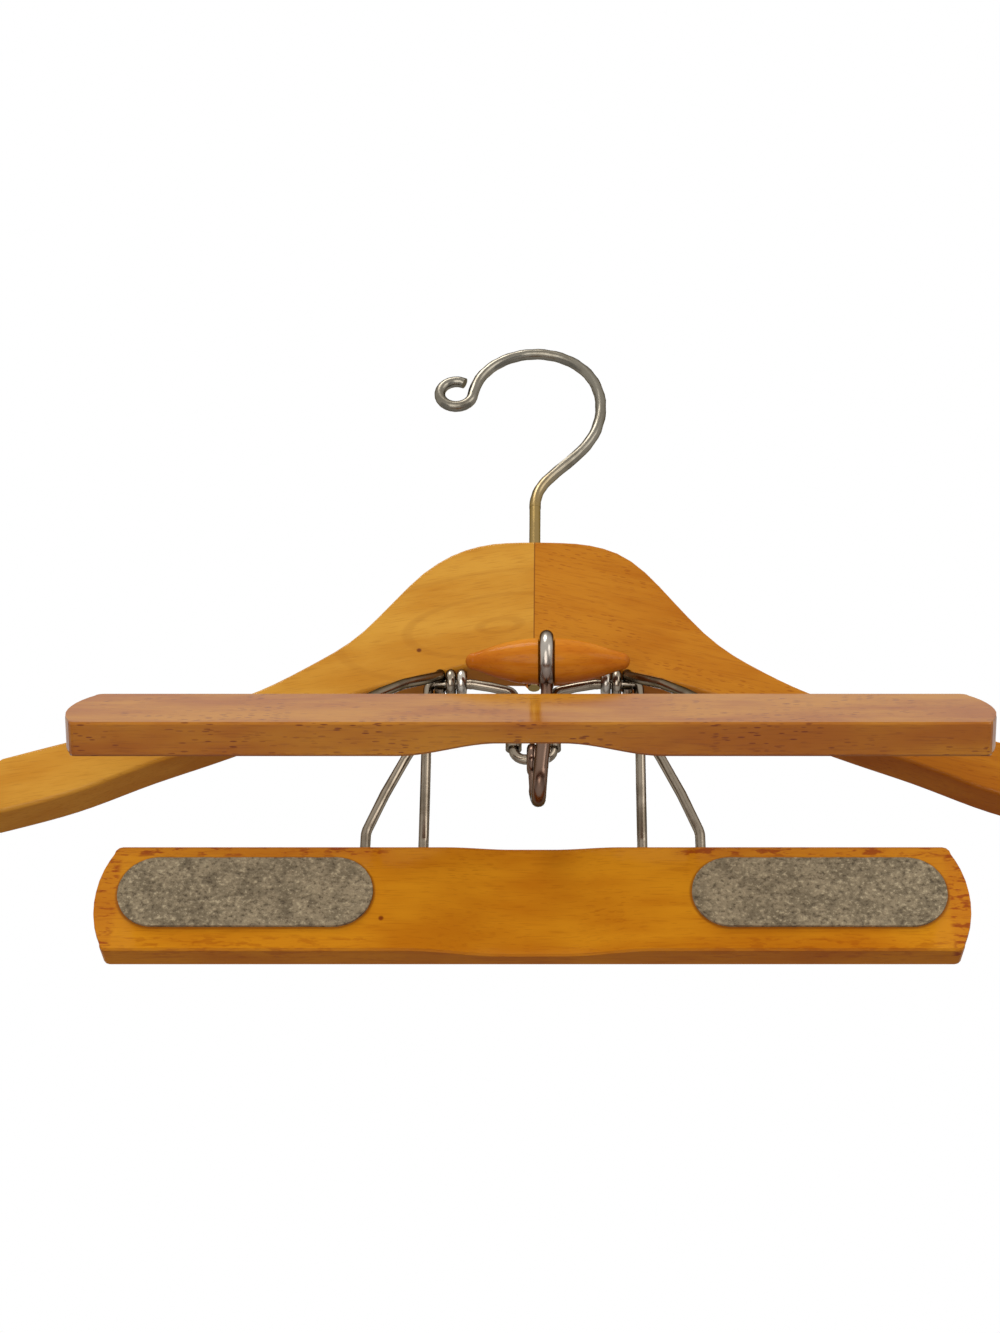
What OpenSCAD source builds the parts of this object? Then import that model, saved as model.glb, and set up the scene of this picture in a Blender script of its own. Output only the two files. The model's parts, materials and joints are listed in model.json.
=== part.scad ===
// Wooden clamp hanger for trousers.
// Two glued beech halves hang on a swivelling wire hook. Two felt-lined beech bars hang
// below on sprung wire frames that turn on one axle, and a wire latch with a turned
// wooden toggle locks them together. Origin: the rail seat, inside the top of the hook.
// -Y is the front, +X the viewer's right, +Z up.

/* [Body] */
// Distance from the centre joint to the end of one arm
arm_reach = 230; // [215:1:245]
// Thickness of the body, front to back
body_t = 17; // [15:0.5:20]
// Depth of the body at its centre joint
body_depth = 68; // [62:0.2:74]
// Radius of the body's long edges
edge_r = 1.8; // [1:0.1:3]
// Length of the rounding at the end of each arm
tip_len = 9; // [6:0.5:14]
// Slope of the arm's top and underside past the last shaped point
tip_slope = 0.32; // [0.2:0.02:0.4]
// Length of the tongue across the centre joint
tongue_len = 11; // [8:0.5:16]
// Thickness of the tongue
tongue_t = 6; // [5:0.5:7]

/* [Hook] */
// Diameter of the hook wire
hook_d = 5.1; // [4.6:0.1:5.4]
// Radius of the round top of the hook, to the middle of the wire
hook_r = 30.2; // [28:0.2:34]
// Radius of the long bend between the round top and the neck
neck_r = 45; // [40:1:50]
// Radius of the bend at the top of the shank
shank_r = 25; // [20:1:30]
// Angle above level at which that bend begins
neck_from = 14; // [0:1:20]
// Lean of the neck from the vertical
neck_lean = 42; // [38:0.1:45]
// Straight length of the shank above the body
shank_free = 26.4; // [20:0.2:36]
// Radius of the curled tip, to the middle of the wire
curl_r = 7.8; // [7.4:0.1:9]
// Turn of the curled tip
curl_turn = 292; // [250:1:294]
// Angle of the round top from level to where the tip curls back
hook_sweep = 173; // [168:0.5:178]

/* [Swivel end] */
// Outside diameter of the washer under the body
washer_d = 9.6; // [8.8:0.2:12]
// Thickness of the washer
washer_t = 1; // [0.8:0.1:1.5]
// Width of the nut across its flats
nut_af = 6.6; // [6.2:0.1:8]
// Height of the nut
nut_h = 3.6; // [3:0.1:4.5]
// Length of the hook's threaded end past the nut
thread_end = 1.2; // [0.5:0.1:2]

/* [Clamp bars] */
// Length of each bar
bar_len = 349; // [320:1:380]
// Height of each bar
bar_h = 47; // [40:0.2:52]
// Thickness of each bar
bar_t = 13; // [12:0.2:15]
// Radius of each bar's bowed end
bar_end_r = 41; // [30:1:60]
// Length by which a bar's lower corners stand out past its upper ones
bar_skew = 1.8; // [0:0.1:3]
// Rounding of each bar's corners, seen from the front
bar_corner_r = 3; // [2:0.5:5]
// Width of the eased edges
bar_ease = 0.8; // [0.4:0.1:1.2]
// Half width of the hollow across the middle of the inner face, at the upper edge
scoop_half_top = 35; // [28:1:40]
// Half width of that hollow at the lower edge
scoop_half_low = 49; // [44:1:58]
// Depth of that hollow at the bar's upper edge
scoop_top = 2; // [1:0.1:2.6]
// Depth of that hollow at the bar's lower edge
scoop_low = 4.8; // [3:0.1:6]
// Distance from the axle down to the bars' upper edges
bar_drop = 78.6; // [74:0.1:84]
// Distance from the closing plane to each bar's inner face
bar_gap = 1.5; // [1.2:0.1:2.5]
// Angle of the front bar from the closing plane, as it stands open
open_angle = 42.5; // [20:0.1:60]

/* [Felt pads] */
// Length of a pad
pad_len = 102; // [90:1:110]
// Height of a pad
pad_h = 31; // [28:0.5:34]
// Distance from the tip of a bar to the end of its pad
pad_inset = 8.8; // [6:0.2:12]
// Distance from a bar's upper edge to its pad
pad_below = 5.9; // [4.5:0.1:7]

/* [Clamp wires] */
// Diameter of the wire of both frames, and of the axle that it forms
wire_d = 4.2; // [3.8:0.1:4.4]
// Distance from the body's front face forward to the axle
axle_fore = 1; // [0.5:0.1:2]
// Distance from the body's underside at its centre down to the axle
axle_below = 10.5; // [10:0.1:13]
// Distance between neighbouring eyes on the axle
eye_pitch = 4.6; // [4.5:0.05:5]
// Distance from the centre line to the first eye
eye_x = 30.6; // [28:0.2:34]
// Distance from the centre line to where a brace enters its bar
brace_x = 68.5; // [64:0.5:74]
// Height of a brace's straight foot above its bar
brace_foot = 10.5; // [8:0.5:14]
// Bend radius of the brace above its foot
brace_bend = 11; // [8:0.5:14]
// Fall of the axle wire from the body's eyes to the top of the latch loop
axle_dip = 4.2; // [2:0.1:6]
// Depth of a wire in its bar
wire_bed = 13; // [9:0.5:16]
// Tilt of the body's eye shanks back from the vertical
shank_tilt = 30; // [25:1:35]
// Diameter of the body's eye shanks
eye_shank_d = 3.4; // [3:0.1:3.6]
// Depth of the eye shanks in the wood
eye_bed = 13; // [9:0.5:15]

/* [Latch] */
// Distance from the centre line to the legs of the latch loop
loop_x = 8.2; // [7.5:0.1:10]
// Distance from the axle down to the bottom of the latch loop
loop_drop = 37.9; // [35:0.1:41]
// Corner radius of the latch loop
loop_r = 5; // [4:0.2:6]
// Outside diameter of the sleeves that join the loop to the axle wires
sleeve_d = 6.8; // [6.2:0.1:7.4]
// Length of a sleeve
sleeve_len = 16; // [12:0.5:18]
// Distance from the bottom of the loop up to the sleeves
sleeve_up = 4.9; // [4.2:0.1:6]
// Diameter of the latch wire
latch_d = 5.9; // [5.4:0.1:6.4]
// Diameter of the latch wire where it is drawn down to an eye
latch_eye_d = 4.6; // [4:0.1:5]
// Radius of the crook at the foot of the latch
crook_r = 8; // [7.5:0.1:9]
// Distance from the loop down to the lowest wire centre of the crook
crook_drop = 23.1; // [20:0.1:26]
// Distance of the latch eye to the left of the centre line
latch_left = 0.4; // [0:0.1:2]
// Distance of the latch's crook to the right of the centre line
crook_right = 2.3; // [1:0.1:3]
// Distance of the latch ring to the right of the centre line
ring_right = 5.5; // [3:0.1:7]
// Height of the ring's centre above the loop's lowest wire
ring_up = 38.6; // [37:0.1:42]
// Radius of the ring, to the middle of its wire
ring_r = 10.25; // [9.8:0.05:10.8]

/* [Toggle] */
// Length of the wooden toggle to the left of its ring
toggle_left = 34; // [30:0.5:40]
// Length of the wooden toggle to the right of its ring
toggle_right = 35; // [30:0.5:40]
// Largest radius of the toggle
toggle_r = 9.9; // [9.4:0.05:10.2]
// Radius of the toggle's rounded ends
toggle_tip_r = 3.6; // [3:0.1:4.4]

/* [Clearances] */
// Radial clearance of the hook in its bore
hook_fit = 0.08; // [0.05:0.01:0.1]
// Radial clearance of a wire in its hole or sleeve
bed_fit = 0.05; // [0.02:0.01:0.1]
// Radial clearance of an eye on the axle or the loop
eye_fit = 0.15; // [0.1:0.01:0.3]
// Clearance round the tongue
tongue_fit = 0.1; // [0.05:0.01:0.2]
// Gap between the body and the washer
washer_gap = 0.3; // [0.2:0.05:0.5]
// Gap between the felt pads when the clamp is shut
pad_gap = 0.3; // [0.2:0.05:0.5]
// Clearance of the ring in the toggle's groove
ring_gap = 0.6; // [0.3:0.05:0.8]

/* [Hidden] */
round_fn = 48;
wire_sides = 16;
arc_step = 16;
// A bent wire runs into its straight length by lap, where its skin is this much fuller
lap = 0.1;
swell = 1.035;
// Straight length of skin beside a lap
stub = 0.3;
// A wire that grows out of its own eye starts this slim, inside the eye's wire
sunk = 0.42;
// Length by which a cut passes the face it leaves
past = 2;

// Heights worked down from the rail seat
hook_cz = hook_d / 2 - hook_r;
neck_c = [0, hook_cz] + (hook_r - neck_r) * [cos(neck_from), sin(neck_from)];
neck_end = neck_c + neck_r * [cos(neck_lean), -sin(neck_lean)];
shank_end_x = shank_r * (1 - cos(neck_lean));
neck_len = (neck_end.x - shank_end_x) / sin(neck_lean);
shank_cz = neck_end.y - neck_len * cos(neck_lean) - shank_r * sin(neck_lean);
crown_z = shank_cz - shank_free;
belly_z = crown_z - body_depth;

// The hook's shank turns from a true cylinder into a swept skin here
shank_seam = shank_cz - 1;
// Length of the hook below the body
hook_end = washer_gap + washer_t + nut_h + thread_end;

// Drop of each arm's top below the crown, against the distance from the centre joint; the
// right shoulder is fuller and its slope falls lower, as on the sanded original
top_last = [195, 106.4];
left_top = [[0, 0], [16, 0.6], [25, 2.4], [33, 5.5], [41, 10.4], [51, 19.5], [60, 31.1],
  [76, 51.4], [92, 64.5], [121, 82.4], [160, 95.9], top_last,
  [arm_reach, top_last.y + (arm_reach - top_last.x) * tip_slope]];
right_top = [[0, 0], [16, 0.5], [25, 1.8], [33, 4.4], [41, 9], [51, 19.2], [60, 31.7],
  [76, 52.6], [92, 66.4], [121, 83.4], [160, 95.9], top_last,
  [arm_reach, top_last.y + (arm_reach - top_last.x) * tip_slope]];
// Drop of the underside below its middle, against the same distance
low_last = [191, 64.2];
low_line = [[0, 0], [28, 0.1], [38, 3], [61.5, 9.8], [80, 16.5], [110, 29], [135, 39.8],
  [160, 50.1], low_last, [arm_reach, low_last.y + (arm_reach - low_last.x) * tip_slope]];
// Ends of the tongue, in from the body's top and underside
tongue_inset = 8;
tongue_top = crown_z - tongue_inset;
tongue_low = belly_z + tongue_inset;

// Axle, closing plane and bars
axle_y = -body_t / 2 - axle_fore;
axle_z = belly_z - axle_below;
axle_c = [0, axle_y, axle_z];
bar_mid = bar_gap + bar_t / 2;
eye_r = wire_d + eye_fit;
rear_eye_x = eye_x + eye_pitch;
front_eye_x = rear_eye_x + eye_pitch;
eye_dir = [0, sin(shank_tilt), cos(shank_tilt)];
eye_wood = (axle_below + 0.2) / cos(shank_tilt);

// Rear wires: bends at the axle's two ends, and the inner leg's bends above its bar
inner_bend = 2.8;
loop_bend = 4;
leg_bend = 12;
leg_foot = 6;
leg_lean = 0.3;
inner_x = front_eye_x + wire_d / 2 + inner_bend;
axle_in = eye_x - wire_d / 2 - 1.1;
axle_out = inner_x - inner_bend - stub;

// Braces: turn of the eye, the bend below it and the knee where the brace leaves its plane
eye_turn = 262;
knee = [brace_x - 15.4, bar_mid - 0.6, -bar_drop * 0.4];
eye_drop = 3.6;
eye_bend = 5;
knee_bend = 30;
pad_t = bar_gap - pad_gap / 2;
pad_x = bar_len / 2 - pad_inset - pad_len / 2;

// Latch
loop_z = -loop_drop;
wire_end = loop_z + sleeve_up + sleeve_len / 2;
loop_flat = 2;
latch_eye_r = (wire_d + latch_eye_d) / 2 + eye_fit;
ring_fore = 2 * crook_r;
ring_c = [ring_right, -ring_fore, ring_up];
ring_neck = 14;
shank_bend = 12;
groove_r = latch_d / 2 + ring_gap;

function unit(v) = v / norm(v);
function cut_first(list) = [for (i = [1:len(list) - 1]) list[i]];
function dir(p, i) = unit(p[i + 1] - p[i]);
function turn(p, i) = acos(dir(p, i - 1) * dir(p, i));
function trim(p, bends, i) = i == 0 || i == len(p) - 1 ? 0 : bends[i - 1] * tan(turn(p, i) / 2);

// Height of a smooth line through the points p at x
function gap_at(p, x, i = 0) = i >= len(p) - 2 || x <= p[i + 1].x ? i : gap_at(p, x, i + 1);
function rise(p, i) = i == 0 ? 0
  : i == len(p) - 1 ? (p[i].y - p[i - 1].y) / (p[i].x - p[i - 1].x)
  : (p[i + 1].y - p[i - 1].y) / (p[i + 1].x - p[i - 1].x);
function blend(a, b, ra, rb, w, t) = a * (2 * t * t * t - 3 * t * t + 1)
  + b * (3 * t * t - 2 * t * t * t) + ra * w * (t * t * t - 2 * t * t + t)
  + rb * w * (t * t * t - t * t);
function line_at(p, x) = let (i = gap_at(p, x), w = p[i + 1].x - p[i].x)
  blend(p[i].y, p[i + 1].y, rise(p, i), rise(p, i + 1), w, (x - p[i].x) / w);

// Rounded section of an arm at x, shrunk by s at its tip
function arm_section(x, s, top_line) = let (
    top = crown_z - line_at(top_line, x),
    low = belly_z - line_at(low_line, x),
    mid = (top + low) / 2,
    h = (top - low) / 2 * s - edge_r * s,
    w = body_t / 2 * s - edge_r * s)
  [for (q = [0:3], a = [0:30:90])
    [x, (q == 0 || q == 3 ? w : -w) + edge_r * s * cos(90 * q + a),
      mid + (q < 2 ? h : -h) + edge_r * s * sin(90 * q + a)]];

// Closed skin over a row of sections that hold equally many points
module skin(rings) {
  n = len(rings[0]);
  m = len(rings);
  points = [for (r = rings) each r];
  sides = [for (i = [0:m - 2], j = [0:n - 1])
    let (a = i * n + j, b = i * n + (j + 1) % n) each [[a, b + n, b], [a, a + n, b + n]]];
  ends = [[for (j = [0:n - 1]) j], [for (j = [n - 1:-1:0]) (m - 1) * n + j]];
  polyhedron(points, concat(sides, ends));
}

// Stations along an arc in the plane of u and v: each holds a place and a direction
function arc(c, u, v, r, from, to) = let (n = max(2, ceil(abs(to - from) / arc_step)),
    way = to > from ? 1 : -1)
  [for (i = [0:n]) let (a = from + (to - from) * i / n)
    [c + r * (cos(a) * u + sin(a) * v), way * (cos(a) * v - sin(a) * u)]];

// Stations of a wire through points, bent at each inner point with its own radius
function bend_at(p, bends, i) = let (
    start = p[i] - dir(p, i - 1) * trim(p, bends, i),
    axis = unit(cross(dir(p, i - 1), dir(p, i))),
    inward = cross(axis, dir(p, i - 1)))
  arc(start + inward * bends[i - 1], -inward, dir(p, i - 1), bends[i - 1], 0, turn(p, i));
function wire_path(p, bends) = concat([[p[0], dir(p, 0)]],
  [for (i = [1:len(p) - 2]) each bend_at(p, bends, i)],
  [[p[len(p) - 1], dir(p, len(p) - 2)]]);

// Skin of a wire along its stations; radii holds one radius for each of them
function across(t) = unit(cross(t, abs(t.x) < 0.9 ? [1, 0, 0] : [0, 1, 0]));
function carried(u, t) = unit(u - (u * t) * t);
module sweep(path, radii) {
  m = len(path);
  sides = [for (i = 0, u = across(path[0][1]); i < m; i = i + 1,
    u = i < m ? carried(u, path[i][1]) : u) u];
  skin([for (i = [0:m - 1]) let (u = sides[i], v = cross(path[i][1], u))
    [for (j = [0:wire_sides - 1]) let (a = 360 * j / wire_sides)
      path[i][0] + radii[i] * (cos(a) * u + sin(a) * v)]]);
}

// Puts the XY plane at c, with X along u and Z along n
module place(c, u, n) {
  v = cross(n, u);
  multmatrix([[u.x, v.x, n.x, c.x], [u.y, v.y, n.y, c.y], [u.z, v.z, n.z, c.z]]) children();
}

// Straight round bar from a to b
module rod(a, b, d) {
  n = unit(b - a);
  side = abs(n.x) < 0.9 ? [1, 0, 0] : [0, 1, 0];
  place(a, unit(cross(side, n)), n) cylinder(d = d, h = norm(b - a), $fn = round_fn);
}

// Ring of wire round a line along X
module eye_ring(r, d) {
  rotate([0, 90, 0]) rotate_extrude($fn = round_fn) translate([r, 0]) circle(d = d, $fn = round_fn);
}

// Shapes drawn round the axle, at their real place
module on_axle() { translate(axle_c) children(); }
// The front frame stands open by turning about the axle
module front_turn() { rotate([-open_angle, 0, 0]) mirror([0, 1, 0]) children(); }
module left_side() { mirror([1, 0, 0]) children(); }

module hook() {
  flat = [0, 0, 1];
  bow_c = [0, 0, hook_cz];
  path = concat([[[0, 0, shank_seam], flat]],
    arc([shank_r, 0, shank_cz], [1, 0, 0], flat, shank_r, 180, 180 - neck_lean),
    arc([neck_c.x, 0, neck_c.y], [1, 0, 0], flat, neck_r, -neck_lean, neck_from),
    cut_first(arc(bow_c, [1, 0, 0], flat, hook_r, neck_from, hook_sweep)),
    cut_first(arc(bow_c + [cos(hook_sweep), 0, sin(hook_sweep)] * (hook_r + curl_r),
      [1, 0, 0], flat, curl_r, hook_sweep - 180, hook_sweep - 180 - curl_turn)));
  color("silver") union() {
    translate([0, 0, belly_z - hook_end]) cylinder(d = hook_d,
      h = shank_seam + lap - belly_z + hook_end, $fn = round_fn);
    sweep(path, [for (i = [0:len(path) - 1]) hook_d / 2 * (i < 2 ? swell : 1)]);
  }
}

module hook_washer() {
  color("silver") translate([0, 0, belly_z - washer_gap - washer_t]) difference() {
    cylinder(d = washer_d, h = washer_t, $fn = round_fn);
    translate([0, 0, -past]) cylinder(d = hook_d + 2 * bed_fit, h = washer_t + 2 * past, $fn = round_fn);
  }
}

module hook_nut() {
  color("darkgoldenrod") translate([0, 0, belly_z - washer_gap - washer_t - nut_h]) difference() {
    cylinder(d = nut_af / cos(30), h = nut_h, $fn = 6);
    translate([0, 0, -past]) cylinder(d = hook_d + 2 * bed_fit, h = nut_h + 2 * past, $fn = round_fn);
  }
}

// One arm, drawn to the right of the centre joint
module arm_blank(top_line) {
  plain = [for (i = [0:36]) i * (arm_reach - tip_len) / 36];
  tip = [for (a = [25:13:77]) a];
  skin(concat([for (x = plain) arm_section(x, 1, top_line)],
    [for (a = tip) arm_section(arm_reach - tip_len * (1 - sin(a)), cos(a), top_line)]));
}

// Tongue of the centre joint, fixed in the left arm
module tongue(grow) {
  translate([-tongue_len / 2, -tongue_t / 2 - grow, tongue_low - grow])
    cube([1.5 * tongue_len + grow, tongue_t + 2 * grow, tongue_top - tongue_low + 2 * grow]);
}

// Bore for the hook, down the centre joint
module hook_bore() {
  translate([0, 0, belly_z - past])
    cylinder(d = hook_d + 2 * hook_fit, h = body_depth + 2 * past, $fn = round_fn);
}

// Shank of the right eye, or its hole in the wood
module eye_shank(grow) {
  rod([eye_x, axle_y, axle_z] + eye_dir * eye_r,
    [eye_x, axle_y, axle_z] + eye_dir * (eye_wood + eye_bed + grow), eye_shank_d + 2 * grow);
}

module left_arm() {
  color("goldenrod") difference() {
    union() {
      left_side() arm_blank(left_top);
      tongue(0);
    }
    hook_bore();
    left_side() eye_shank(bed_fit);
  }
}

module right_arm() {
  color("peru") difference() {
    arm_blank(right_top);
    tongue(tongue_fit);
    hook_bore();
    eye_shank(bed_fit);
  }
}

module axle_eye() {
  color("silver") union() {
    translate([eye_x, axle_y, axle_z]) eye_ring(eye_r, wire_d);
    eye_shank(0);
  }
}
module axle_eye_left() { left_side() axle_eye(); }
module axle_eye_right() { axle_eye(); }

// Inner leg, axle and top of the latch loop: one bent wire
module rear_wire() {
  leg = wire_path([[inner_x, bar_mid, -bar_drop - wire_bed],
    [inner_x, bar_mid, -bar_drop + leg_foot], [inner_x, 0, -bar_drop * leg_lean],
    [inner_x, 0, 0], [axle_out, 0, 0]], [leg_bend, leg_bend, inner_bend]);
  drop = wire_path([[axle_in, 0, 0], [axle_in - 1.6, 0, 0], [loop_x, 0, -axle_dip],
    [loop_x, 0, wire_end + lap]], [10, loop_bend]);
  color("silver") on_axle() union() {
    sweep(leg, [for (i = [0:len(leg) - 1]) wire_d / 2 * (i > len(leg) - 3 ? swell : 1)]);
    translate([axle_in - lap, 0, 0]) rotate([0, 90, 0])
      cylinder(d = wire_d, h = axle_out - axle_in + 2 * lap, $fn = round_fn);
    sweep(drop, [for (i = [0:len(drop) - 1]) wire_d / 2 * (i < 2 ? swell : 1)]);
  }
}
module rear_wire_left() { left_side() rear_wire(); }
module rear_wire_right() { rear_wire(); }

module latch_loop() {
  path = wire_path([[-loop_x, 0, wire_end - lap], [-loop_x, 0, loop_z],
    [-loop_flat, 0, loop_z]], [loop_r]);
  color("silver") on_axle() union() {
    for (side = [0, 1]) mirror([side, 0, 0])
      sweep(path, [for (i = [0:len(path) - 1]) wire_d / 2 * (i > len(path) - 3 ? swell : 1)]);
    translate([-loop_flat - lap, 0, loop_z]) rotate([0, 90, 0])
      cylinder(d = wire_d, h = 2 * (loop_flat + lap), $fn = round_fn);
  }
}

module sleeve() {
  color("gray") on_axle() translate([loop_x, 0, loop_z + sleeve_up]) difference() {
    cylinder(d = sleeve_d, h = sleeve_len, $fn = round_fn);
    translate([0, 0, -past])
      cylinder(d = wire_d + 2 * bed_fit, h = sleeve_len + 2 * past, $fn = round_fn);
  }
}
module sleeve_left() { left_side() sleeve(); }
module sleeve_right() { sleeve(); }

// Brace with an almost closed eye, drawn behind the closing plane
module brace(x) {
  path = concat(arc([x, 0, 0], [0, 1, 0], [0, 0, 1], eye_r, eye_turn, 0),
    cut_first(wire_path([[x, eye_r, 0], [x, eye_r, -eye_drop], knee,
      [brace_x, bar_mid, -bar_drop + brace_foot], [brace_x, bar_mid, -bar_drop - wire_bed]],
      [eye_bend, knee_bend, brace_bend])));
  color("silver") sweep(path, [for (p = path) wire_d / 2]);
}
module rear_brace_left() { on_axle() left_side() brace(rear_eye_x); }
module rear_brace_right() { on_axle() brace(rear_eye_x); }
module front_brace_left() { on_axle() front_turn() left_side() brace(front_eye_x); }
module front_brace_right() { on_axle() front_turn() brace(front_eye_x); }

// Depth of the hollow in a bar's inner face at distance x: dip deep and flat across the
// middle quarter, then easing out at half
function ease(t) = t * t * (3 - 2 * t);
function hollow(x, dip, half) = dip * ease(max(0, min(1, (half - x) / half / 0.75)));
// Distance to the bowed end at a height h from the bar's middle
function bow_x(h) = bar_len / 2 - bar_end_r + sqrt(bar_end_r * bar_end_r - h * h);

// Eased section of a bar at x, h high to each side of its middle, its foot out by skew
function bar_section(x, h, skew = 0) = let (
    high = hollow(abs(x), scoop_top, scoop_half_top),
    low = hollow(abs(x), scoop_low, scoop_half_low),
    e = min(bar_ease, h / 2))
  [[x, bar_t, h - e], [x, bar_t - e, h], [x, high + e, h], [x, high, h - e],
    [x + skew, low, e - h], [x + skew, low + e, -h], [x + skew, bar_t - e, -h],
    [x + skew, bar_t, e - h]];

// A bar drawn behind the closing plane, round the axle
module bar(inner_hole) {
  corner_h = bar_h / 2 - bar_corner_r;
  corner_x = bow_x(corner_h) - bar_corner_r;
  // Sections of the bowed end, from the rounded corner to the tip
  end = concat([for (a = [0:30:90])
      [corner_x + bar_corner_r * sin(a), corner_h + bar_corner_r * cos(a)]],
    [for (k = [0.85, 0.65, 0.4, 0.15]) [bow_x(corner_h * k), corner_h * k]]);
  middle = [for (i = [-14:14]) scoop_half_low * i / 14];
  translate([0, bar_gap, -bar_drop]) difference() {
    translate([0, 0, -bar_h / 2]) skin(concat(
      [for (i = [len(end) - 1:-1:0])
        bar_section(-end[i].x, end[i].y, -bar_skew * end[i].y / bar_h * 2)],
      [for (x = middle) bar_section(x, bar_h / 2)],
      [for (e = end) bar_section(e.x, e.y, bar_skew * e.y / bar_h * 2)]));
    for (side = [-1, 1]) {
      if (inner_hole) wire_hole(side * inner_x);
      wire_hole(side * brace_x);
    }
  }
}
// Hole for a wire in a bar's upper edge
module wire_hole(x) {
  translate([x, bar_t / 2, -wire_bed - 0.2])
    cylinder(d = wire_d + 2 * bed_fit, h = wire_bed + past, $fn = round_fn);
}
module rear_bar() { color("goldenrod") on_axle() bar(true); }
module front_bar() { color("peru") on_axle() front_turn() bar(false); }

module pad() {
  color("dimgray") translate([pad_x, bar_gap, -bar_drop - pad_below - pad_h / 2]) rotate([90, 0, 0])
    linear_extrude(pad_t) union() {
      square([pad_len - pad_h, pad_h], center = true);
      for (side = [-1, 1])
        translate([side * (pad_len - pad_h) / 2, 0]) circle(d = pad_h, $fn = 64);
    }
}
module rear_pad_left() { on_axle() left_side() pad(); }
module rear_pad_right() { on_axle() pad(); }
module front_pad_left() { on_axle() front_turn() left_side() pad(); }
module front_pad_right() { on_axle() front_turn() pad(); }

// Latch, drawn round the bottom of the latch loop
module latch_lever() {
  eye_c = [-latch_left, 0, 0];
  path = wire_path([eye_c - [0, 0, latch_eye_r], [crook_right, 0, -crook_drop],
    [crook_right + 0.4, -ring_fore, -crook_drop], ring_c - [0, 0, ring_r + ring_neck],
    ring_c - [0, 0, ring_r]], [crook_r, crook_r, shank_bend]);
  last = len(path) - 1;
  color("lightslategray") on_axle() translate([0, 0, loop_z]) union() {
    translate(eye_c) eye_ring(latch_eye_r, latch_eye_d);
    sweep(path, [for (i = [0:last]) i == 0 ? latch_eye_d * sunk : i == last ? latch_d * sunk
      : latch_d / 2]);
    translate(ring_c) eye_ring(ring_r, latch_d);
  }
}

// Half outline of the toggle from its groove to one end
function toggle_half(length) = [for (i = [0:9])
  let (t = i / 9) [length * t, toggle_tip_r + (toggle_r - toggle_tip_r) * pow(cos(90 * t), 0.8)
    * sqrt(1 - pow(t, 6))]];
module toggle_handle() {
  right = toggle_half(toggle_right - toggle_tip_r);
  left = toggle_half(toggle_left - toggle_tip_r);
  tip = [for (a = [15:15:90]) [sin(a), cos(a)] * toggle_tip_r];
  outline = concat([for (i = [9:-1:1]) [-left[i].x, left[i].y]], right,
    [for (p = tip) [p.x + toggle_right - toggle_tip_r, p.y]],
    [for (i = [5:-1:0]) [-tip[i].x - toggle_left + toggle_tip_r, tip[i].y]]);
  color("chocolate") on_axle() translate([0, 0, loop_z] + ring_c) rotate([0, 90, 0])
    rotate_extrude($fn = round_fn) difference() {
      rotate([0, 0, 90]) mirror([0, 1]) polygon(outline);
      translate([ring_r, 0]) circle(r = groove_r, $fn = round_fn);
    }
}

hook();
hook_washer();
hook_nut();
left_arm();
right_arm();
axle_eye_left();
axle_eye_right();
rear_wire_left();
rear_wire_right();
latch_loop();
sleeve_left();
sleeve_right();
rear_brace_left();
rear_brace_right();
rear_bar();
rear_pad_left();
rear_pad_right();
front_brace_left();
front_brace_right();
front_bar();
front_pad_left();
front_pad_right();
latch_lever();
toggle_handle();
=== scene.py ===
import json
import math
import bmesh
import bpy
from mathutils import Matrix, Vector, noise

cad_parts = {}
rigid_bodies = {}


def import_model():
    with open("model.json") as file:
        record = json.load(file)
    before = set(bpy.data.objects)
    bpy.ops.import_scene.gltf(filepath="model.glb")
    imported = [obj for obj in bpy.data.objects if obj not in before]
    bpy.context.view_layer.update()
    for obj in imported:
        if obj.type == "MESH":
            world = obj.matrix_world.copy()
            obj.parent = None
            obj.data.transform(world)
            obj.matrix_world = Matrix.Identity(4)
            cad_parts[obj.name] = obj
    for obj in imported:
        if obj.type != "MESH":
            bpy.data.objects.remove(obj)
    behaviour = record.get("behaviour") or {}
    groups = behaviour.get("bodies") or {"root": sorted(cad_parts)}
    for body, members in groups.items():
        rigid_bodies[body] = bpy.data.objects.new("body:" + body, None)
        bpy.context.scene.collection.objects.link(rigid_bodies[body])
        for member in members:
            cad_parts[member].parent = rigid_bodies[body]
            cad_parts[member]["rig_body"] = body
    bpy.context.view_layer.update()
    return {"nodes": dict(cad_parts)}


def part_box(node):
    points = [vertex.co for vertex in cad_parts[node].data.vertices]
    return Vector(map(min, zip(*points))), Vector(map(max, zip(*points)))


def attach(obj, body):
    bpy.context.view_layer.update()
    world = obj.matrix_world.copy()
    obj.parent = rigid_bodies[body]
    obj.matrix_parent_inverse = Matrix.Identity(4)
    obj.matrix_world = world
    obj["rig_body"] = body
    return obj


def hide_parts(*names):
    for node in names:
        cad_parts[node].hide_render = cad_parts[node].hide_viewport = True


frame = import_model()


# Camera: it stands below the hanger and looks up at its front, as the photograph does.
# The place, lens and sideways shift come from fitting the bars, the hook and the arms.
def add_object(name, data):
    """A new object in the scene that holds data."""
    made = bpy.data.objects.new(name, data)
    bpy.context.scene.collection.objects.link(made)
    return made


camera_data = bpy.data.cameras.new("camera")
camera_data.sensor_fit = "VERTICAL"
camera_data.sensor_height = 36
camera_data.lens = 58.42
camera_data.shift_x = -0.0401
camera = add_object("camera", camera_data)
camera.location = (0.0084, -0.76748, -0.71909)
camera.rotation_euler = (math.radians(125.03), 0, 0)
bpy.context.scene.camera = camera


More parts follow.
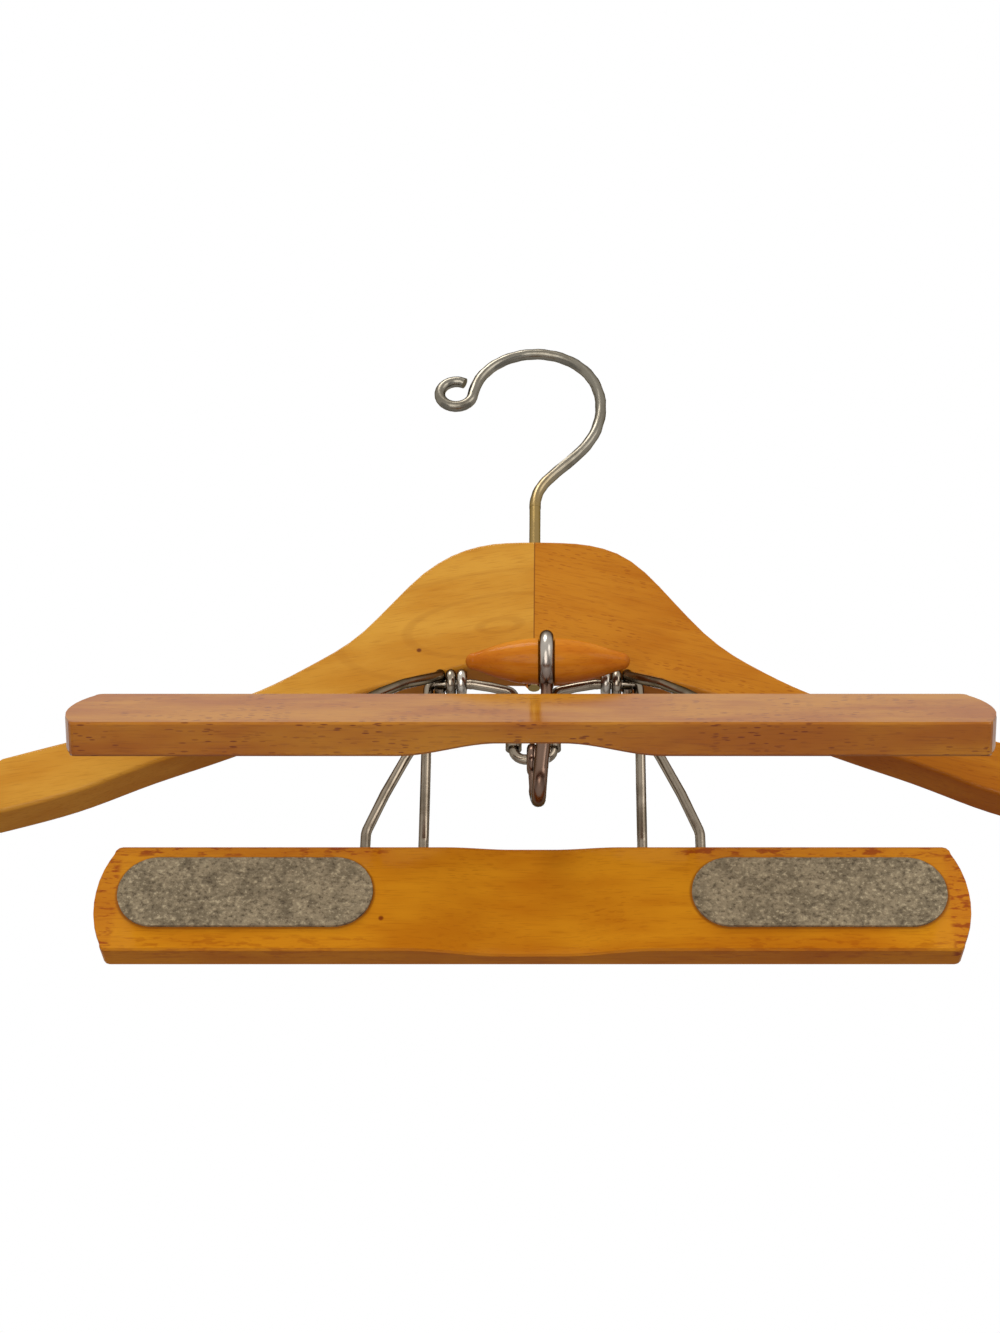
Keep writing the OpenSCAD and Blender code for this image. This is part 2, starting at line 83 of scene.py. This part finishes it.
# Room: soft round lamps above, in front and behind, and a floor far below the hanger.
# The camera and shiny surfaces see a white world and a pale floor. All other light meets
# a dim, slightly blue sky and a brown floor.
MIX_AMOUNT, MIX_FIRST, MIX_SECOND, MIX_RESULT = 0, 6, 7, 2  # colour sockets of a Mix node
LAMP_TARGET = Vector((0, 0, -0.2))
SKY = (0.92, 0.95, 1, 1)
SKY_STRENGTH = 0.5
WHITE = (1, 1, 1, 1)
FLOOR_HEIGHT = -1.6
FLOOR_LIT = (0.36, 0.26, 0.17, 1)
FLOOR_SEEN = (0.95, 0.95, 0.95, 1)


def add_lamp(name, place, width, power):
    """A round area lamp of that width and power in watts, turned to the hanger."""
    lamp = bpy.data.lights.new(name, "AREA")
    lamp.shape = "DISK"
    lamp.size = width
    lamp.energy = power
    aim = (LAMP_TARGET - Vector(place)).to_track_quat("-Z", "Y")
    add_object(name, lamp).matrix_world = Matrix.Translation(place) @ aim.to_matrix().to_4x4()


def put(tree, socket, value):
    """Links an output to the socket, or sets the socket to a plain value."""
    if isinstance(value, bpy.types.NodeSocket):
        tree.links.new(value, socket)
    else:
        socket.default_value = value


def fill(tree, node, values):
    """Puts each value into the node's input of that name."""
    for name, value in values.items():
        put(tree, node.inputs[name], value)


def math_node(tree, operation, first, second=0):
    made = tree.nodes.new("ShaderNodeMath")
    made.operation = operation
    put(tree, made.inputs[0], first)
    put(tree, made.inputs[1], second)
    return made.outputs[0]


def mix_colour(tree, amount, first, second):
    made = tree.nodes.new("ShaderNodeMix")
    made.data_type = "RGBA"
    for socket, value in ((MIX_AMOUNT, amount), (MIX_FIRST, first), (MIX_SECOND, second)):
        put(tree, made.inputs[socket], value)
    return made.outputs[MIX_RESULT]


def seen_rays(tree):
    """One for the rays that the camera, a mirror or clear glass sends out."""
    rays = tree.nodes.new("ShaderNodeLightPath").outputs
    mirrored = math_node(tree, "MAXIMUM", rays["Is Camera Ray"], rays["Is Glossy Ray"])
    return math_node(tree, "MAXIMUM", mirrored, rays["Is Transmission Ray"])


def new_material(name):
    """A material, its tree and its shader."""
    made = bpy.data.materials.new(name)
    made.use_nodes = True
    return made, made.node_tree, made.node_tree.nodes["Principled BSDF"]


add_lamp("key_lamp", (-0.5, -0.9, 1.6), 1.0, 20)
add_lamp("low_lamp", (-0.3, -1.6, -0.8), 1.4, 15)
add_lamp("fill_lamp", (1.3, -1.4, 0.2), 1.2, 8)
add_lamp("back_lamp", (0.2, 1.4, 0.9), 1.0, 8)

world = bpy.data.worlds.new("room")
world.use_nodes = True
bpy.context.scene.world = world
world_tree = world.node_tree
shade = world_tree.nodes["Background"]
fill(world_tree, shade, {"Color": SKY, "Strength": SKY_STRENGTH})
white = world_tree.nodes.new("ShaderNodeBackground")
fill(world_tree, white, {"Color": WHITE, "Strength": 1})
choose = world_tree.nodes.new("ShaderNodeMixShader")
put(world_tree, choose.inputs["Fac"], seen_rays(world_tree))
put(world_tree, choose.inputs[1], shade.outputs[0])
put(world_tree, choose.inputs[2], white.outputs[0])
put(world_tree, world_tree.nodes["World Output"].inputs["Surface"], choose.outputs[0])
bpy.context.scene.view_settings.view_transform = "Standard"

floor_mesh = bmesh.new()
bmesh.ops.create_grid(floor_mesh, x_segments=1, y_segments=1, size=6,
                      matrix=Matrix.Translation((0, 0, FLOOR_HEIGHT)))
floor_data = bpy.data.meshes.new("floor")
floor_mesh.to_mesh(floor_data)
floor_mesh.free()
floor = add_object("floor", floor_data)
floor_paint, floor_tree, floor_shader = new_material("floor_paint")
fill(floor_tree, floor_shader, {
    "Roughness": 0.8,
    "Base Color": mix_colour(floor_tree, seen_rays(floor_tree), FLOOR_LIT, FLOOR_SEEN)})
floor_data.materials.append(floor_paint)


# Varnished beech, for the body, both bars and the toggle: broad soft figure, faint growth
# rings, fine straight pores, short dark ray flecks and a clear rubbed varnish. The grain
# runs along X of the vector, and the rings close round the origin of the pith vector.
COLOUR = "NodeSocketColor"
VALUE = "NodeSocketFloat"
VECTOR = "NodeSocketVector"
FIGURE_SHARE = 0.82
PORE_DEPTH = 0.28
RING_GONE = 0.05  # metres from the rings' middle past which they are gone
RING_WHOLE = 0.02  # metres from their middle within which they are whole
FLECKS_PER_METRE = (190, 1000, 1000)


def stretched(tree, vector, stretch):
    """The vector with each axis scaled by its own factor."""
    made = tree.nodes.new("ShaderNodeMapping")
    fill(tree, made, {"Scale": stretch, "Vector": vector})
    return made.outputs[0]


def stretched_noise(tree, vector, stretch, scale, detail, rough=0.5):
    made = tree.nodes.new("ShaderNodeTexNoise")
    fill(tree, made, {"Scale": scale, "Detail": detail, "Roughness": rough,
                      "Vector": stretched(tree, vector, stretch)})
    return made.outputs["Fac"]


def spread(tree, value, low, high, out_low=0, out_high=1):
    """A soft step from out_low to out_high while the value runs from low to high."""
    made = tree.nodes.new("ShaderNodeMapRange")
    made.interpolation_type = "SMOOTHSTEP"
    fill(tree, made, {"Value": value, "From Min": low, "From Max": high,
                      "To Min": out_low, "To Max": out_high})
    return made.outputs[0]


def vector_node(tree, operation, vector):
    made = tree.nodes.new("ShaderNodeVectorMath")
    made.operation = operation
    put(tree, made.inputs[0], vector)
    return made


def new_group(name, inputs, outputs):
    """A node group, the sockets that its input node gives, and its output node."""
    group = bpy.data.node_groups.new(name, "ShaderNodeTree")
    for label, kind in inputs:
        group.interface.new_socket(label, in_out="INPUT", socket_type=kind)
    for label, kind in outputs:
        group.interface.new_socket(label, in_out="OUTPUT", socket_type=kind)
    return (group, group.nodes.new("NodeGroupInput").outputs,
            group.nodes.new("NodeGroupOutput"))


beech, beech_in, beech_out = new_group(
    "beech_grain",
    [("Vector", VECTOR), ("Pith Vector", VECTOR), ("Light", COLOUR), ("Dark", COLOUR),
     ("Fleck", COLOUR), ("Fleck Amount", VALUE), ("Fleck Size", VALUE), ("Ring Amount", VALUE)],
    [("Colour", COLOUR), ("Roughness", VALUE), ("Height", VALUE)])
along = beech_in["Vector"]

# Broad figure with a few finer bands in it
figure = stretched_noise(beech, along, (1, 3, 3), scale=14, detail=3, rough=0.55)
bands = stretched_noise(beech, along, (0.3, 14, 14), scale=16, detail=4, rough=0.6)
tone = math_node(beech, "ADD", math_node(beech, "MULTIPLY", figure, FIGURE_SHARE),
                 math_node(beech, "MULTIPLY", bands, 1 - FIGURE_SHARE))
ground = mix_colour(beech, spread(beech, tone, 0.36, 0.64), beech_in["Light"],
                    beech_in["Dark"])

# Thin rings, lost at some distance from their middle
growth = beech.nodes.new("ShaderNodeTexWave")
growth.wave_type = "RINGS"
growth.rings_direction = "SPHERICAL"
fill(beech, growth, {"Vector": beech_in["Pith Vector"], "Scale": 24, "Distortion": 1.6,
                     "Detail": 2, "Detail Scale": 0.9, "Phase Offset": 1.4})
reach = vector_node(beech, "LENGTH", beech_in["Pith Vector"]).outputs["Value"]
near_rings = math_node(beech, "MULTIPLY", spread(beech, growth.outputs["Fac"], 0.9, 1),
                       spread(beech, reach, RING_GONE, RING_WHOLE))
ring_mask = math_node(beech, "MULTIPLY", beech_in["Ring Amount"], near_rings)
ringed = mix_colour(beech, ring_mask, ground, beech_in["Fleck"])

# Pores, much longer than wide
pores = stretched_noise(beech, along, (0.06, 1, 1), scale=1700, detail=2)
pore_mask = math_node(beech, "MULTIPLY", spread(beech, pores, 0.5, 0.72), PORE_DEPTH)
pored = mix_colour(beech, pore_mask, ringed, beech_in["Fleck"])

# Ray flecks: a share of long cells, strong in some patches and weak between them
scaled = vector_node(beech, "SCALE", along)
put(beech, scaled.inputs["Scale"], beech_in["Fleck Size"])
cells = beech.nodes.new("ShaderNodeTexVoronoi")
fill(beech, cells, {"Scale": 1, "Vector": stretched(beech, scaled.outputs[0],
                                                    FLECKS_PER_METRE)})
chance = beech.nodes.new("ShaderNodeSeparateColor")
put(beech, chance.inputs[0], cells.outputs["Color"])
patches = stretched_noise(beech, along, (1, 1.5, 1.5), scale=40, detail=2)
fleck_shape = math_node(beech, "MULTIPLY", spread(beech, cells.outputs["Distance"], 0.36, 0.24),
                        spread(beech, chance.outputs[0], 0.35, 0.6))
fleck_mask = math_node(
    beech, "MULTIPLY", fleck_shape,
    math_node(beech, "MULTIPLY", spread(beech, patches, 0.42, 0.6, 0.12, 1),
              beech_in["Fleck Amount"]))

# The varnish is rubbed unevenly, and sinks a little in the pores
rubbed = stretched_noise(beech, along, (1, 1, 1), scale=60, detail=3)
fill(beech, beech_out, {
    "Colour": mix_colour(beech, fleck_mask, pored, beech_in["Fleck"]),
    "Roughness": spread(beech, rubbed, 0.3, 0.7, 0.34, 0.5),
    "Height": math_node(beech, "SUBTRACT", math_node(beech, "MULTIPLY", figure, 0.3),
                        math_node(beech, "MULTIPLY", pore_mask, 0.5))})


def object_place(tree):
    return tree.nodes.new("ShaderNodeTexCoord").outputs["Object"]


def grain_frame(tree, place, middle, slope, turn=0):
    """The vector from middle in axes that lean by slope in the front plane.

    Turn, also in degrees, first turns them about X, for a bar that stands open.
    """
    axes = (Matrix.Rotation(math.radians(turn), 3, "X")
            @ Matrix.Rotation(math.radians(slope), 3, "Y"))
    made = tree.nodes.new("ShaderNodeMapping")
    fill(tree, made, {"Rotation": axes.to_euler(), "Location": -(axes @ Vector(middle)),
                      "Vector": place})
    return made.outputs[0]


def add_bump(tree, shader, height, strength, depth):
    """Raises the shader's surface by a height, with the depth in metres."""
    made = tree.nodes.new("ShaderNodeBump")
    fill(tree, made, {"Strength": strength, "Distance": depth, "Height": height})
    put(tree, shader.inputs["Normal"], made.outputs[0])


def wood_material(name, light, dark, fleck, slope, pith, contour, flecks, size=1, rings=0,
                  turn=0, coat=0.18, stains_and_shade=None):
    """Varnished beech whose rings close round pith and are drawn out along it by contour.

    The last argument takes the tree and the place, and gives pairs of a mask and a colour, for
    stains and for painted shade.
    """
    made, tree, shader = new_material(name)
    place = object_place(tree)
    along = grain_frame(tree, place, pith, slope, turn)
    grain = tree.nodes.new("ShaderNodeGroup")
    grain.node_tree = beech
    fill(tree, grain, {
        "Vector": along, "Pith Vector": stretched(tree, along, (contour, 1, 1)),
        "Light": light, "Dark": dark, "Fleck": fleck,
        "Fleck Amount": flecks, "Fleck Size": size, "Ring Amount": rings})
    colour = grain.outputs["Colour"]
    for mask, tint in (stains_and_shade(tree, place) if stains_and_shade else ()):
        colour = mix_colour(tree, mask, colour, tint)
    add_bump(tree, shader, grain.outputs["Height"], strength=0.12, depth=0.0006)
    fill(tree, shader, {
        "Base Color": colour, "Roughness": grain.outputs["Roughness"],
        "Coat Weight": coat, "Coat Roughness": 0.09, "Coat IOR": 1.5,
        "Specular IOR Level": 0})
    return made


# Body: two halves of beech, 17 mm thick, glued at a tongued centre joint with their grain
# along each slope, then spindle-moulded, sanded round at the edges and varnished. The
# left half is painted lighter and the right half redder and darker, a painted difference in
# the light that the two halves catch; their grain differs too.
MERGE = 0.000004  # corners closer than this, in metres, are one
SLIVER = 0.000002  # an edge shorter than this is dropped
KNOT_RADIUS = 0.0011
GLUE_GONE, GLUE_WHOLE = 0.0004, 0.0001  # metres to each side of the joint
GLUE_DARKNESS = 0.7


def linear(red, green, blue):
    """A screen colour, each part from 0 to 255, as linear light."""
    parts = [c / 255 for c in (red, green, blue)]
    return [c / 12.92 if c < 0.04045 else ((c + 0.055) / 1.055) ** 2.4 for c in parts] + [1]


def split(tree, place):
    """The three parts of a vector."""
    made = tree.nodes.new("ShaderNodeSeparateXYZ")
    put(tree, made.inputs[0], place)
    return made.outputs


def spot_mask(tree, place, middle, radius):
    """One inside a small ball round middle, fading over its rim."""
    made = vector_node(tree, "DISTANCE", place)
    made.inputs[1].default_value = middle
    return spread(tree, made.outputs["Value"], radius * 1.3, radius * 0.5)


def add_points(shape, angle, steps):
    """Gives each smooth bend and section that many more points that lie on the curve."""
    sharp = {vert for edge in shape.edges if edge.calc_face_angle(0) > math.radians(angle)
             for vert in edge.verts}
    bends = [edge for edge in shape.edges if not sharp.intersection(edge.verts)]
    bmesh.ops.subdivide_edges(shape, edges=bends, cuts=steps, smooth=1, use_grid_fill=True)
    bmesh.ops.triangulate(shape, faces=[face for face in shape.faces if len(face.verts) > 3])


def corner_normals(shape, angle):
    """For each corner, the mean normal of the faces that meet its own within the angle."""
    limit = math.cos(math.radians(angle))
    normals = []
    for face in shape.faces:
        for vert in face.verts:
            near = [other for other in vert.link_faces if other.normal.dot(face.normal) > limit]
            total = sum((other.normal * other.calc_area() for other in near), Vector())
            normals.append(total.normalized() if total.length else face.normal.copy())
    return normals


def dress(node, suffix, data):
    """Puts a finished mesh in the place of a CAD node, on the same body."""
    piece = add_object(node + suffix, data)
    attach(piece, frame["nodes"][node]["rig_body"])
    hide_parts(node)
    return piece


def smooth_copy(node, material, angle=35, steps=0):
    """A merged copy of a CAD node, its flats kept flat and its curves smooth."""
    data = frame["nodes"][node].data.copy()
    shape = bmesh.new()
    shape.from_mesh(data)
    bmesh.ops.remove_doubles(shape, verts=shape.verts, dist=MERGE)
    bmesh.ops.dissolve_degenerate(shape, edges=shape.edges, dist=SLIVER)
    if steps:
        add_points(shape, angle, steps)
    for face in shape.faces:
        face.smooth = True
    normals = corner_normals(shape, angle)
    shape.to_mesh(data)
    shape.free()
    data.normals_split_custom_set(normals)
    data.materials.clear()
    data.materials.append(material)
    dress(node, "_finished", data)


def glue_line(tree, place):
    """The thin dark line of the centre joint, and a pin knot in the left half."""
    side = math_node(tree, "ABSOLUTE", split(tree, place)["X"])
    line = spread(tree, side, GLUE_GONE, GLUE_WHOLE, 0, GLUE_DARKNESS)
    knot = spot_mask(tree, place, (-0.0495, -0.0085, -0.1785), KNOT_RADIUS)
    return (line, linear(96, 48, 16)), (knot, linear(110, 58, 20))


# Painted light: the left half's colours are lighter and the right half's redder and darker
left_wood = wood_material(
    "left_half_beech", light=linear(202, 146, 54), dark=linear(186, 124, 36),
    fleck=linear(146, 86, 22), slope=10, pith=(-0.0149, -0.0085, -0.1656), contour=0.42,
    flecks=0.12, rings=0.2, stains_and_shade=glue_line)
right_wood = wood_material(
    "right_half_beech", light=linear(186, 118, 28), dark=linear(168, 96, 14),
    fleck=linear(136, 66, 12), slope=-14, pith=(0.05, 0.03, -0.26), contour=0.16,
    flecks=0.55, size=1.1, stains_and_shade=glue_line)
smooth_copy("left_arm", left_wood)
smooth_copy("right_arm", right_wood)


# Clamp bars: straight beech, planed, hollowed in the middle and varnished, on the ends of
# the frame wires. The rear one is honey with red-brown stains round its pads, and painted
# shade round each pad and along its top edge; the front one pinker and glossier, with
# strong dark flecks.
STAINS_GONE, STAINS_WHOLE = 0.016, 0.008  # metres from a pad's outline
TOP_FROM, TOP_TO = 0.006, 0.003  # metres below the bar's top, over which stains grow
LOW_FROM, LOW_TO = 0.0035, 0.0055  # metres below the pads, the same
LOW_SHARE = 0.4  # strength of the stains below the pads
END_FADE = (-0.001, 0.002)  # metres past the pads' ends, the same
# Painted shade along the bar's rounded top edge: how far below the top it fades out
TOP_EDGE_SHADE_FADE = (0.0016, 0.0004)  # metres below the bar's top
# Painted shade round each pad, where it meets the bar: how far it reaches
PAD_RIM_SHADE_GONE, PAD_RIM_SHADE_WHOLE = 0.0014, 0.0004  # metres from a pad's outline
BLUSH, DASHES, TOP_EDGE_SHADE, PAD_RIM_SHADE = 0.3, 0.85, 0.5, 0.6  # strengths


def pad_stains_and_shade(tree, place):
    """Short red-brown dashes by the upper edge and at the ends, painted shade round each pad and
    along the top edge, a knot.
    """
    parts = split(tree, place)
    pad_low, pad_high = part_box("rear_pad_right")
    bar_low, bar_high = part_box("rear_bar")
    top = bar_high[2]
    radius = (pad_high[2] - pad_low[2]) / 2
    side = math_node(tree, "ABSOLUTE", parts["X"])

    # The gap to the outline of the nearer pad, which is straight with round ends
    far = math_node(tree, "ABSOLUTE",
                    math_node(tree, "SUBTRACT", side, (pad_low[0] + pad_high[0]) / 2))
    run = math_node(tree, "MAXIMUM", math_node(
        tree, "SUBTRACT", far, (pad_high[0] - pad_low[0]) / 2 - radius), 0)
    rise = math_node(tree, "SUBTRACT", parts["Z"], (pad_low[2] + pad_high[2]) / 2)
    gap = math_node(tree, "SUBTRACT", math_node(tree, "SQRT", math_node(
        tree, "ADD", math_node(tree, "MULTIPLY", run, run),
        math_node(tree, "MULTIPLY", rise, rise))), radius)

    # Where stains lie: only in front, above the pads, past their ends and faintly below
    middle = (bar_low[1] + bar_high[1]) / 2
    front = spread(tree, parts["Y"], middle + 0.001, middle - 0.001)
    by_pad = spread(tree, gap, STAINS_GONE, STAINS_WHOLE)
    upper = math_node(tree, "MULTIPLY", by_pad, spread(
        tree, parts["Z"], top - TOP_FROM, top - TOP_TO))
    lower = math_node(tree, "MULTIPLY", by_pad, spread(
        tree, parts["Z"], pad_low[2] - LOW_FROM, pad_low[2] - LOW_TO))
    ends = spread(tree, side, *(pad_high[0] + past for past in END_FADE))
    where = math_node(tree, "MULTIPLY", front, math_node(
        tree, "MAXIMUM", math_node(tree, "MAXIMUM", upper, ends),
        math_node(tree, "MULTIPLY", lower, LOW_SHARE)))

    # The stains and the painted shade, from the broadest to the smallest
    blush = math_node(tree, "MULTIPLY", where, BLUSH)
    # Painted shade: a darker band along the bar's rounded top edge
    top_edge_shade = spread(tree, parts["Z"], *(top - below for below in TOP_EDGE_SHADE_FADE), 0, TOP_EDGE_SHADE)
    streaks = stretched_noise(tree, place, (0.28, 1, 1), scale=380, detail=3, rough=0.6)
    dashes = math_node(tree, "MULTIPLY", math_node(
        tree, "MULTIPLY", where, spread(tree, streaks, 0.5, 0.6)), DASHES)
    # Painted shade: a dark rim on the bar round each pad
    pad_rim_shade = math_node(tree, "MULTIPLY", spread(tree, gap, PAD_RIM_SHADE_GONE, PAD_RIM_SHADE_WHOLE, 0, PAD_RIM_SHADE), front)
    knot = spot_mask(tree, place, (-0.06, -0.008, -0.3085), KNOT_RADIUS)
    return ((blush, linear(176, 96, 18)), (top_edge_shade, linear(150, 74, 14)),
            (dashes, linear(142, 60, 14)), (pad_rim_shade, linear(120, 62, 24)),
            (knot, linear(130, 62, 16)))


rear_wood = wood_material(
    "rear_bar_beech", light=linear(204, 134, 26), dark=linear(184, 110, 18),
    fleck=linear(150, 76, 12), slope=0, pith=(0.1, 0.03, -0.36), contour=0.12,
    flecks=0.25, stains_and_shade=pad_stains_and_shade)
front_wood = wood_material(
    "front_bar_beech", light=linear(178, 116, 26), dark=linear(156, 88, 14),
    fleck=linear(104, 44, 8), slope=0, pith=(0.05, -0.05, -0.36), contour=0.12,
    flecks=0.9, size=1.1, turn=42.5, coat=0.42)
smooth_copy("rear_bar", rear_wood, angle=20)
smooth_copy("front_bar", front_wood, angle=20)

# Toggle: a beech spindle turned on a lathe, with a groove in which the latch's ring lies,
# under a red-brown varnish. Its grain runs along its length.
toggle_wood = wood_material(
    "toggle_beech", light=linear(206, 130, 34), dark=linear(178, 94, 18),
    fleck=linear(136, 62, 10), slope=0, pith=(0, -0.02, -0.25), contour=0.12,
    flecks=0.1, coat=0.12)
smooth_copy("toggle_handle", toggle_wood)


# Plated metal, for the hook, the swivel's end, the frames and the latch: drawn steel wire
# or turned metal under a thin nickel plating, dull and stained with age, with painted shade
# where the surface turns away from the view.
plating, plating_in, plating_out = new_group(
    "aged_plating", [("Vector", VECTOR), ("Clean", COLOUR), ("Dull", COLOUR)],
    [("Colour", COLOUR), ("Roughness", VALUE), ("Height", VALUE)])
tarnish = stretched_noise(plating, plating_in["Vector"], (1, 1, 1), scale=90, detail=3,
                          rough=0.55)
fill(plating, plating_out, {
    "Colour": mix_colour(plating, spread(plating, tarnish, 0.42, 0.72, 0, 0.7),
                         plating_in["Clean"], plating_in["Dull"]),
    "Roughness": spread(plating, tarnish, 0.35, 0.7, 0.2, 0.3),
    "Height": stretched_noise(plating, plating_in["Vector"], (1, 1, 1), scale=900, detail=2)})


def metal_material(name, clean, dull, edge, tint=None, plain_at=0, tinted_at=0):
    """Plated metal, painted towards the edge colour where it turns away from the view as painted
    shade; with a tint, its colour turns to it between two heights.
    """
    made, tree, shader = new_material(name)
    place = object_place(tree)
    skin = tree.nodes.new("ShaderNodeGroup")
    skin.node_tree = plating
    fill(tree, skin, {"Vector": place, "Clean": clean, "Dull": dull})
    colour = skin.outputs["Colour"]
    if tint:
        amount = spread(tree, split(tree, place)["Z"], tinted_at, plain_at, 0.85, 0)
        colour = mix_colour(tree, amount, colour, tint)
    # Painted shade: the colour darkens to the edge colour where the surface turns away from the
    # view
    facing = tree.nodes.new("ShaderNodeLayerWeight")
    facing.inputs["Blend"].default_value = 0.35
    turned = spread(tree, facing.outputs["Facing"], 0.3, 0.85)
    add_bump(tree, shader, skin.outputs["Height"], strength=0.02, depth=0.0003)
    fill(tree, shader, {
        "Base Color": mix_colour(tree, turned, colour, edge), "Metallic": 1,
        "Roughness": skin.outputs["Roughness"], "Specular Tint": (0.35, 0.33, 0.3, 1)})
    return made


# Hook: one steel wire, bent round with a curled tip and plated. Its straight shank runs
# down through the body, and is brassy where the plating has worn near the wood.
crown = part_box("left_arm")[1][2]
hook_metal = metal_material(
    "hook_plating", clean=linear(124, 118, 106), dull=linear(96, 88, 74),
    edge=linear(66, 60, 48), tint=linear(148, 122, 70), plain_at=crown + 0.055,
    tinted_at=crown + 0.02)
smooth_copy("hook", hook_metal, angle=50, steps=2)

# Swivel end: a stamped steel washer and a tarnished brass nut on the hook's threaded end,
# just under the body. They hold the body up and let the hook turn.
washer_metal = metal_material(
    "washer_plating", clean=linear(170, 164, 154), dull=linear(130, 122, 110),
    edge=linear(84, 76, 66))
# The nut's orange is its tarnished brass together with a painted reflection of the wood above it
nut_metal = metal_material(
    "nut_brass_and_reflection", clean=linear(206, 130, 62), dull=linear(170, 84, 30),
    edge=linear(110, 50, 16))
smooth_copy("hook_washer", washer_metal)
smooth_copy("hook_nut", nut_metal)

# Clamp frames: spring wire bent into legs, axle, loop and eyes, plated, with its ends in
# the bars. Two sleeves join the loop to the rear wires. The eyes that carry the axle are
# driven into the body, and their plating is painted lighter as a painted highlight.
wire_metal = metal_material(
    "frame_plating", clean=linear(138, 126, 110), dull=linear(100, 88, 72),
    edge=linear(56, 46, 36))
# Painted highlight: the eyes' plating is the frame's plating painted lighter
eye_metal = metal_material(
    "eye_plating", clean=linear(182, 174, 162), dull=linear(134, 124, 110),
    edge=linear(70, 60, 50))
for node in ("axle_eye_left", "axle_eye_right"):
    smooth_copy(node, eye_metal, angle=50, steps=1)
for node in ("rear_wire_left", "rear_wire_right", "latch_loop", "rear_brace_left",
             "rear_brace_right", "front_brace_left", "front_brace_right"):
    smooth_copy(node, wire_metal, angle=50, steps=1)
for node in ("sleeve_left", "sleeve_right"):
    smooth_copy(node, wire_metal)

# Latch: thick steel wire, bent with an eye on the frame's loop, a crook and a ring, and
# plated. Its plating is painted lighter, a painted sheen, and browner below its ring, a
# painted reflection of the wood.
ring_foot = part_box("latch_lever")[1][2] - 0.016
latch_metal = metal_material(
    "latch_plating", clean=linear(168, 160, 150), dull=linear(122, 112, 102),
    edge=linear(70, 58, 48), tint=linear(100, 70, 52), plain_at=ring_foot,
    tinted_at=ring_foot - 0.012)
smooth_copy("latch_lever", latch_metal, angle=50, steps=1)


# Felt pads: grey wool felt, cut with rounded ends and glued to the bars' inner faces. It
# is mottled, worn thin in places and a little uneven at the edge.
FELT_COLUMNS = 52
FELT_ROWS = 17
FELT_HEIGHT = 0.032  # metres that the rows take up, a little over a pad's height
SWELL_PER_METRE, SWELL = 260, 0.00012  # broad waves in the face, and their depth
ROUGH_PER_METRE, ROUGH = 900, 0.00008  # small ones
FELT_SHARP = math.radians(45)  # an edge that turns more than this stays sharp


def felt_material():
    made, tree, shader = new_material("wool_felt")
    place = object_place(tree)
    cloud = stretched_noise(tree, place, (1, 1, 1), scale=140, detail=4, rough=0.65)
    clump = stretched_noise(tree, place, (0.9, 1, 1.1), scale=520, detail=5, rough=0.75)
    hair = stretched_noise(tree, place, (1, 0.6, 2.2), scale=1500, detail=3, rough=0.7)
    colour = mix_colour(tree, spread(tree, cloud, 0.35, 0.65), linear(116, 103, 80),
                        linear(146, 131, 104))
    for mask, tint in ((spread(tree, clump, 0.5, 0.34, 0, 0.8), linear(66, 54, 38)),
                       (spread(tree, clump, 0.53, 0.66, 0, 0.8), linear(188, 172, 140)),
                       (spread(tree, hair, 0.62, 0.75, 0, 0.45), linear(84, 76, 66))):
        colour = mix_colour(tree, mask, colour, tint)
    add_bump(tree, shader, clump, strength=0.8, depth=0.0006)
    fill(tree, shader, {
        "Base Color": colour, "Roughness": 0.95, "Specular IOR Level": 0.15,
        "Sheen Weight": 0.15, "Sheen Roughness": 0.6})
    return made


def cut_through(shape, place, normal):
    """Adds edges where a plane crosses the shape."""
    bmesh.ops.bisect_plane(shape, geom=shape.verts[:] + shape.edges[:] + shape.faces[:],
                           plane_co=place, plane_no=normal)


def felt_pad(node, seed):
    """A felt slab over a pad's solid: a finely divided copy whose face is roughened."""
    shape = bmesh.new()
    shape.from_mesh(frame["nodes"][node].data)
    bmesh.ops.remove_doubles(shape, verts=shape.verts, dist=MERGE)
    low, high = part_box(node)
    for step in range(1, FELT_COLUMNS):
        x = low[0] + (high[0] - low[0]) * step / FELT_COLUMNS
        cut_through(shape, (x, 0, 0), (1, 0, 0))
    shape.normal_update()
    out = max(shape.faces, key=lambda face: face.calc_area()).normal.copy()
    across = out.cross(Vector((1, 0, 0))).normalized()
    middle = (Vector(low) + Vector(high)) / 2
    for step in range(-(FELT_ROWS // 2), FELT_ROWS // 2 + 1):
        cut_through(shape, middle + across * (FELT_HEIGHT * step / FELT_ROWS), across)
    shape.normal_update()
    for vert in shape.verts:
        swell = noise.noise(vert.co * SWELL_PER_METRE + Vector((seed, 0, 0))) * SWELL
        rough = noise.noise(vert.co * ROUGH_PER_METRE + Vector((0, seed, 0))) * ROUGH
        vert.co += vert.normal * (swell + rough - ROUGH)
    for face in shape.faces:
        face.smooth = True
    for edge in shape.edges:
        edge.smooth = edge.calc_face_angle(0) < FELT_SHARP
    data = bpy.data.meshes.new(node + "_felt")
    shape.to_mesh(data)
    shape.free()
    data.materials.append(felt)
    piece = dress(node, "_felt", data)


felt = felt_material()
felt_pad("rear_pad_left", seed=0)
felt_pad("rear_pad_right", seed=7)
felt_pad("front_pad_left", seed=14)
felt_pad("front_pad_right", seed=21)
